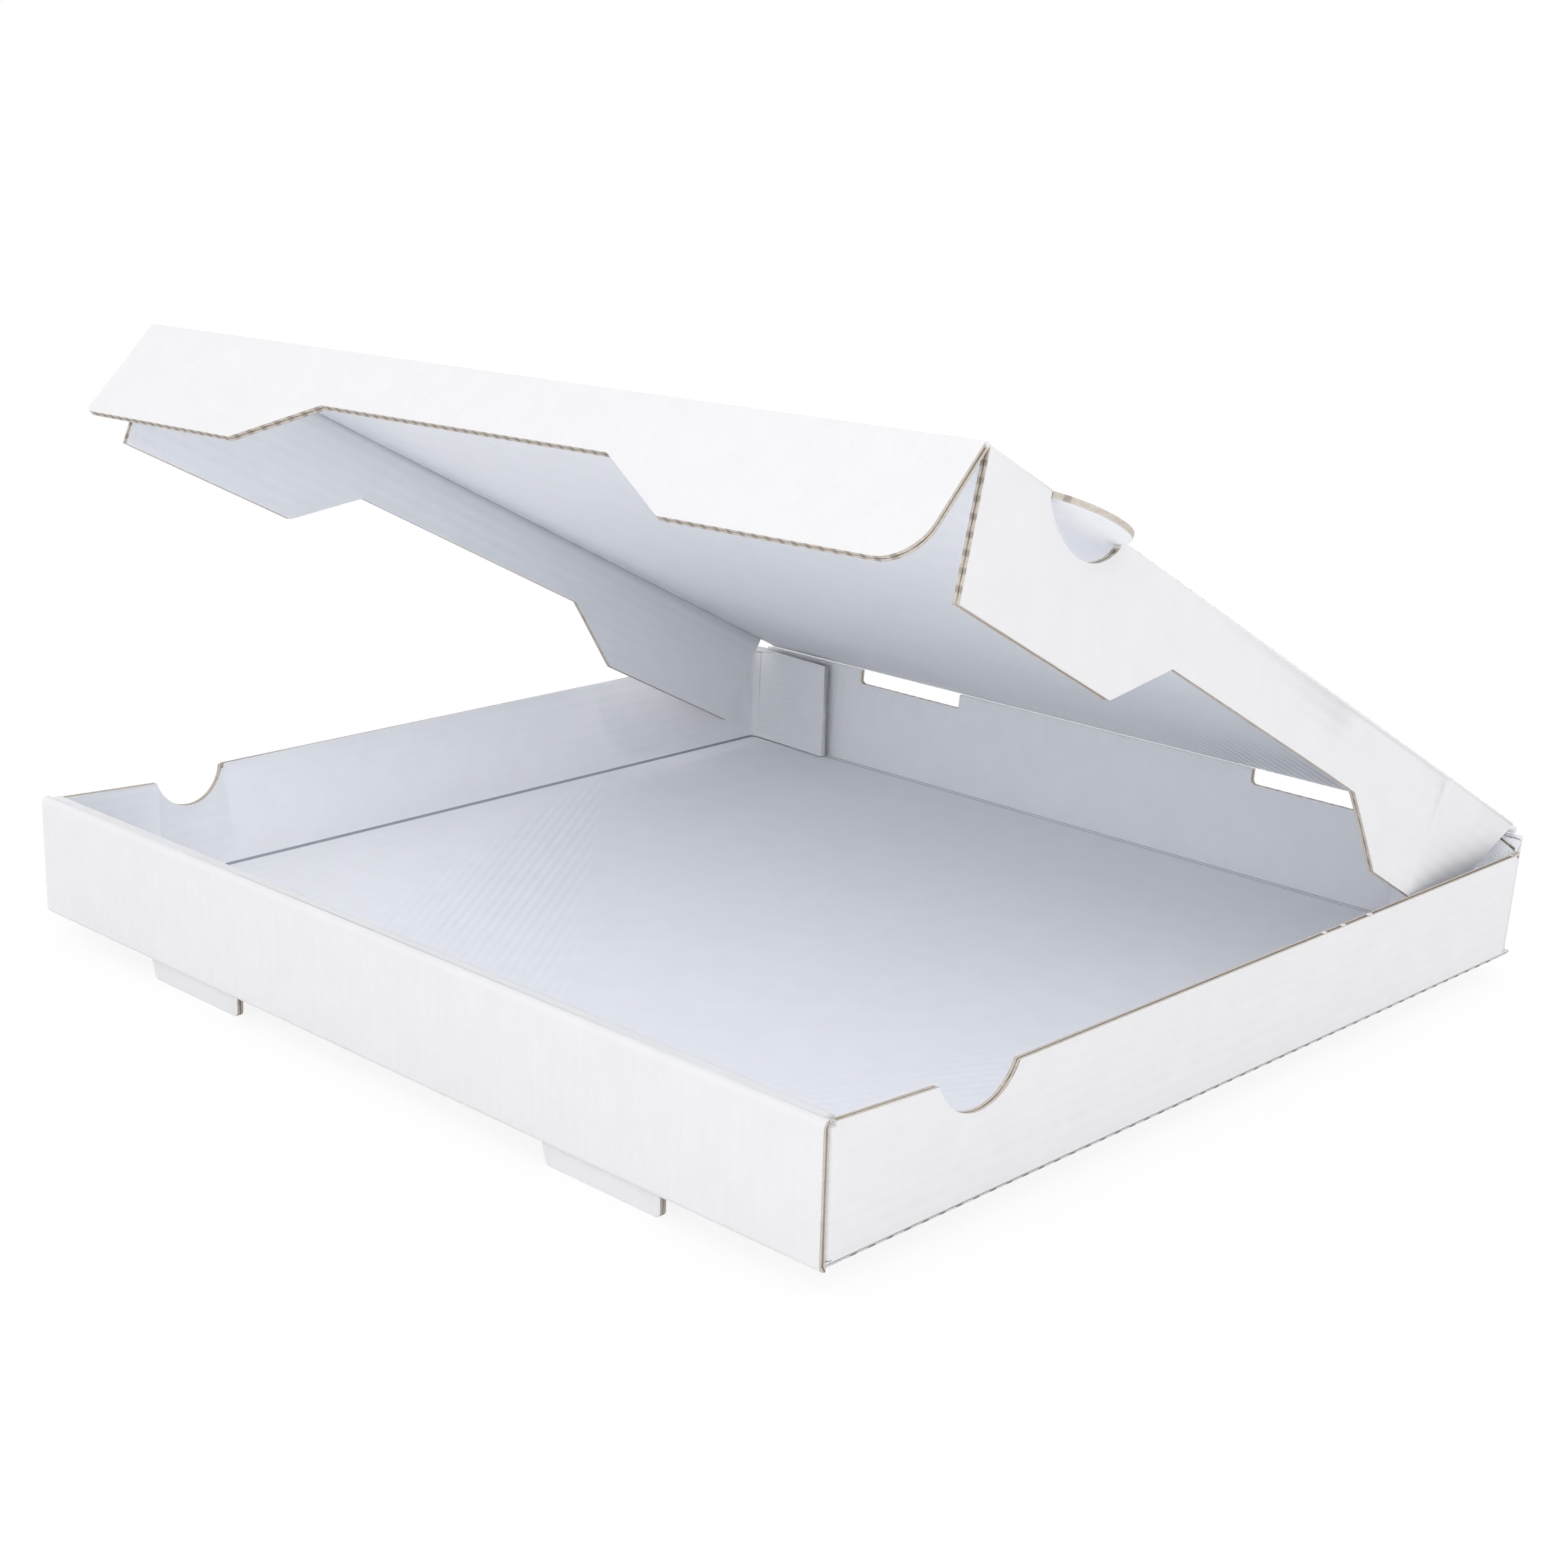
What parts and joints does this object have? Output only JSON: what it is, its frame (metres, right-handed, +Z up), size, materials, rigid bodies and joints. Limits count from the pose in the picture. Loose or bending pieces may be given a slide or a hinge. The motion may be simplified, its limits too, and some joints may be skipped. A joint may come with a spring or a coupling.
{
  "type": "pizza box",
  "caption": "Open pizza box of white corrugated board: a folded tray with a rolled front, thumb notches and vents, and a hinged lid with folding flaps.",
  "frame": {"origin": "centre of the base's underside", "axes": "+Z up out of the open tray, -Y towards the rolled front, +X to the right as seen from the front"},
  "size_m": [0.2766, 0.2542, 0.1528],
  "materials": {
    "white_lined_board": "matt white liner with kraft brown fluted core at cut edges"
  },
  "bodies": {
    "tray": {"tray": "white_lined_board"},
    "lid": {"lid": "white_lined_board"},
    "lid_front_flap": {"lid_front_flap": "white_lined_board"},
    "lid_left_flap": {"lid_left_flap": "white_lined_board"},
    "lid_right_flap": {"lid_right_flap": "white_lined_board"}
  },
  "joints": [
    {"name": "lid_hinge", "type": "hinge", "parent": "tray", "child": "lid", "pos_m": [0, 0.12789, 0.03091], "axis": [-1, 0, 0], "range_deg": [-27, 100]},
    {"name": "front_flap_fold", "type": "hinge", "parent": "lid", "child": "lid_front_flap", "pos_m": [0, -0.08832, 0.14443], "axis": [-0.9998, -0.0096, -0.0182], "range_deg": [-19.44, 72]},
    {"name": "right_flap_fold", "type": "hinge", "parent": "lid", "child": "lid_right_flap", "pos_m": [0.1288, 0.12789, 0.03091], "axis": [-0.0001, -0.8803, 0.4744], "range_deg": [-13.5, 50]},
    {"name": "left_flap_fold", "type": "hinge", "parent": "lid", "child": "lid_left_flap", "pos_m": [-0.1288, 0.12789, 0.03091], "axis": [-0.0001, 0.8904, -0.4552], "range_deg": [-25, 2.5]}
  ],
  "couplings": [
    {"joint": "front_flap_fold", "follows": "lid_hinge", "ratio": 0.72},
    {"joint": "right_flap_fold", "follows": "lid_hinge", "ratio": 0.5}
  ]
}
